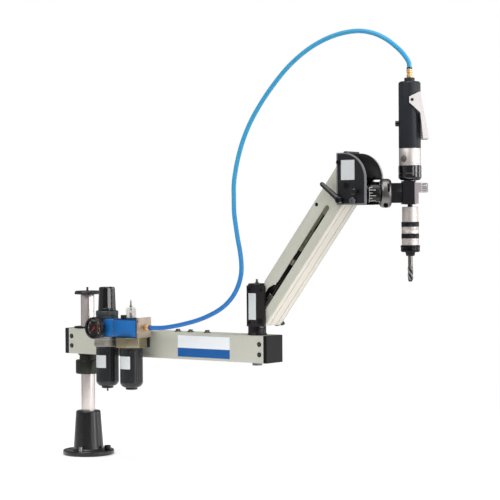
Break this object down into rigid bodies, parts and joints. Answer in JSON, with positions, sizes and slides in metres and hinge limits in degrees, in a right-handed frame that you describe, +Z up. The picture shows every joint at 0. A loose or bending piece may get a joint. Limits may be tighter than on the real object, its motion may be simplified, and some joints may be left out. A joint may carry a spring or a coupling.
{
  "type": "arm tapping machine",
  "caption": "Balanced articulated arm on a bench column, holding an upright air tapping motor with a quick-change chuck, fed by a hose from a filter, regulator and lubricator unit.",
  "frame": {"origin": "centre of the base flange's underside, on the bench, below the column's axis", "axes": "+Z up along the column, +X along both arms towards the tool, +Y to the machine's rear; the air unit is on the -Y side"},
  "size_m": [0.9788, 0.2109, 0.961],
  "materials": {
    "base_casting": "matt black paint",
    "levelling_screws": "blackened and zinc screws",
    "column": "ground steel",
    "top_disc": "black",
    "stop_collar": "black",
    "thrust_washer": "black",
    "arm_tube": "pale grey coated profile",
    "arm_bushes": "black",
    "rear_cap": "black",
    "front_cap": "black",
    "arm_screws": "zinc and black screws",
    "name_plate": "bare plate, white above blue",
    "air_bracket": "grey",
    "filter_body": "metallic blue",
    "lubricator_body": "metallic blue",
    "regulator_bonnet": "dark grey",
    "bowl_rings": "silver and olive",
    "filter_bowl": "dark",
    "lubricator_bowl": "dark",
    "gauge_case": "black with a numbered dial",
    "gauge_lens": "clear",
    "sight_dome": "clear",
    "outlet_block": "champagne",
    "outlet_fitting": "brass with a blue ring",
    "regulator_knob": "black",
    "gauge_needle": "red",
    "oil_needle": "steel",
    "drain_pin": "steel",
    "elbow_hub": "black",
    "elbow_plates": "black",
    "elbow_shaft": "steel",
    "elbow_pins": "dark steel",
    "arm_profile": "pale grey coated profile",
    "spring_anchor": "dark steel",
    "balance_spring": "spring steel",
    "gas_cylinder": "black with a steel coupling",
    "parallel_link": "black",
    "head_cheeks": "black",
    "head_hood": "black",
    "head_pins": "steel",
    "clamp_lever": "black",
    "index_knob": "black",
    "swivel_drum": "black with a white scale",
    "roll_clamp": "bright",
    "tool_bar": "black",
    "tool_clamp": "black",
    "clamp_jaw": "bright",
    "thumb_nut": "knurled",
    "motor_nose": "black",
    "motor_ring": "satin",
    "motor_grip": "black",
    "inlet_fitting": "brass",
    "throttle_lever": "bright",
    "reverse_button": "black",
    "chuck_body": "bright with black bands",
    "chuck_sleeve": "black",
    "tap": "dark steel",
    "hose_low": "blue",
    "hose_rise": "blue",
    "hose_fall": "blue"
  },
  "bodies": {
    "base": {"base_casting": "base_casting", "levelling_screws": "levelling_screws", "column": "column", "top_disc": "top_disc"},
    "collar": {"stop_collar": "stop_collar", "thrust_washer": "thrust_washer"},
    "lower_arm": {"arm_tube": "arm_tube", "arm_bushes": "arm_bushes", "rear_cap": "rear_cap", "front_cap": "front_cap", "arm_screws": "arm_screws", "name_plate": "name_plate", "air_bracket": "air_bracket", "filter_body": "filter_body", "lubricator_body": "lubricator_body", "regulator_bonnet": "regulator_bonnet", "bowl_rings": "bowl_rings", "filter_bowl": "filter_bowl", "lubricator_bowl": "lubricator_bowl", "gauge_case": "gauge_case", "gauge_lens": "gauge_lens", "sight_dome": "sight_dome", "outlet_block": "outlet_block", "outlet_fitting": "outlet_fitting", "hose_low": "hose_low"},
    "regulator": {"regulator_knob": "regulator_knob"},
    "gauge_hand": {"gauge_needle": "gauge_needle"},
    "oil_screw": {"oil_needle": "oil_needle"},
    "drain": {"drain_pin": "drain_pin"},
    "elbow": {"elbow_hub": "elbow_hub", "elbow_plates": "elbow_plates", "elbow_shaft": "elbow_shaft", "elbow_pins": "elbow_pins"},
    "upper_arm": {"arm_profile": "arm_profile", "spring_anchor": "spring_anchor", "balance_spring": "balance_spring", "hose_rise": "hose_rise"},
    "link": {"parallel_link": "parallel_link"},
    "balancer": {"gas_cylinder": "gas_cylinder"},
    "head": {"head_cheeks": "head_cheeks", "head_hood": "head_hood", "head_pins": "head_pins"},
    "lever": {"clamp_lever": "clamp_lever"},
    "index": {"index_knob": "index_knob"},
    "swivel": {"swivel_drum": "swivel_drum"},
    "tool_arm": {"roll_clamp": "roll_clamp", "tool_bar": "tool_bar", "tool_clamp": "tool_clamp", "clamp_jaw": "clamp_jaw", "motor_nose": "motor_nose", "motor_ring": "motor_ring", "motor_grip": "motor_grip", "inlet_fitting": "inlet_fitting", "hose_fall": "hose_fall"},
    "holder_nut": {"thumb_nut": "thumb_nut"},
    "throttle": {"throttle_lever": "throttle_lever"},
    "reverse": {"reverse_button": "reverse_button"},
    "spindle": {"chuck_body": "chuck_body", "tap": "tap"},
    "sleeve": {"chuck_sleeve": "chuck_sleeve"}
  },
  "joints": [
    {"name": "collar_slide", "type": "slide", "parent": "base", "child": "collar", "axis": [0, 0, 1], "range_m": [-0.08, 0.07]},
    {"name": "column_swing", "type": "hinge", "parent": "collar", "child": "lower_arm", "pos_m": [0, 0, 0.2715], "axis": [0, 0, 1], "continuous": true},
    {"name": "elbow_swing", "type": "hinge", "parent": "lower_arm", "child": "elbow", "pos_m": [0.504, 0, 0.33], "axis": [0, 0, 1], "range_deg": [-110, 110], "deforming": ["hose_low", "hose_rise", "hose_fall"]},
    {"name": "arm_pitch", "type": "hinge", "parent": "elbow", "child": "upper_arm", "pos_m": [0.538, 0, 0.334], "axis": [0, 1, 0], "range_deg": [-3, 56], "deforming": ["balance_spring", "hose_low", "hose_rise", "hose_fall"]},
    {"name": "link_swing", "type": "hinge", "parent": "elbow", "child": "link", "pos_m": [0.52485, 0, 0.36096], "axis": [0, 1, 0], "range_deg": [-3, 56]},
    {"name": "balance_slide", "type": "slide", "parent": "upper_arm", "child": "balancer", "axis": [0.6129, 0, 0.7902], "range_m": [-0.0285, 0.0016], "deforming": ["balance_spring"]},
    {"name": "head_level", "type": "hinge", "parent": "upper_arm", "child": "head", "pos_m": [0.76508, 0, 0.62675], "axis": [0, 1, 0], "range_deg": [-56, 3], "deforming": ["hose_rise", "hose_fall"]},
    {"name": "clamp_lever_turn", "type": "hinge", "parent": "head", "child": "lever", "pos_m": [0.75308, -0.043, 0.59575], "axis": [0, 1, 0], "range_deg": [-60, 60]},
    {"name": "index_pull", "type": "slide", "parent": "head", "child": "index", "axis": [0, -1, 0], "range_m": [0, 0.005], "stiffness_N_per_m": 600, "springref_m": -0.004},
    {"name": "tool_swivel", "type": "hinge", "parent": "head", "child": "swivel", "pos_m": [0.80808, 0, 0.60975], "axis": [0, 0, 1], "range_deg": [-36.7, 20], "deforming": ["hose_rise", "hose_fall"]},
    {"name": "tool_roll", "type": "hinge", "parent": "swivel", "child": "tool_arm", "pos_m": [0.82893, 0.01554, 0.60975], "axis": [0.8018, 0.5976, 0], "range_deg": [-90, 90], "deforming": ["hose_rise", "hose_fall"]},
    {"name": "holder_nut_turn", "type": "hinge", "parent": "tool_arm", "child": "holder_nut", "pos_m": [0.89227, 0.06275, 0.62075], "axis": [0.8018, 0.5976, 0], "range_deg": [-180, 180]},
    {"name": "throttle_press", "type": "hinge", "parent": "tool_arm", "child": "throttle", "pos_m": [0.87383, 0.049, 0.80475], "axis": [-0.5976, 0.8018, 0], "range_deg": [0, 6], "stiffness_Nm_per_rad": 6, "springref_deg": -5.73},
    {"name": "reverse_press", "type": "slide", "parent": "tool_arm", "child": "reverse", "axis": [0.8018, 0.5976, 0], "range_m": [0, 0.003], "stiffness_N_per_m": 600, "springref_m": -0.003},
    {"name": "spindle_turn", "type": "hinge", "parent": "tool_arm", "child": "spindle", "pos_m": [0.87142, 0.04721, 0.54975], "axis": [0, 0, 1], "continuous": true},
    {"name": "sleeve_pull", "type": "slide", "parent": "spindle", "child": "sleeve", "axis": [0, 0, -1], "range_m": [0, 0.004], "stiffness_N_per_m": 1200, "springref_m": -0.004},
    {"name": "regulator_turn", "type": "hinge", "parent": "lower_arm", "child": "regulator", "pos_m": [0.124, -0.07, 0.376], "axis": [0, 0, 1], "range_deg": [-360, 360]},
    {"name": "gauge_turn", "type": "hinge", "parent": "lower_arm", "child": "gauge_hand", "pos_m": [0.124, -0.115, 0.311], "axis": [0, 1, 0], "range_deg": [0, 270], "stiffness_Nm_per_rad": 0.0002, "springref_deg": -28.65},
    {"name": "oil_turn", "type": "hinge", "parent": "lower_arm", "child": "oil_screw", "pos_m": [0.197, -0.07, 0.36], "axis": [0, 0, 1], "range_deg": [-360, 360]},
    {"name": "drain_push", "type": "slide", "parent": "lower_arm", "child": "drain", "axis": [0, 0, 1], "range_m": [0, 0.003], "stiffness_N_per_m": 150, "springref_m": -0.003}
  ],
  "couplings": [
    {"joint": "link_swing", "follows": "arm_pitch", "ratio": 1},
    {"joint": "head_level", "follows": "arm_pitch", "ratio": -1},
    {"joint": "balance_slide", "follows": "arm_pitch", "m_per_rad": -0.028836}
  ]
}
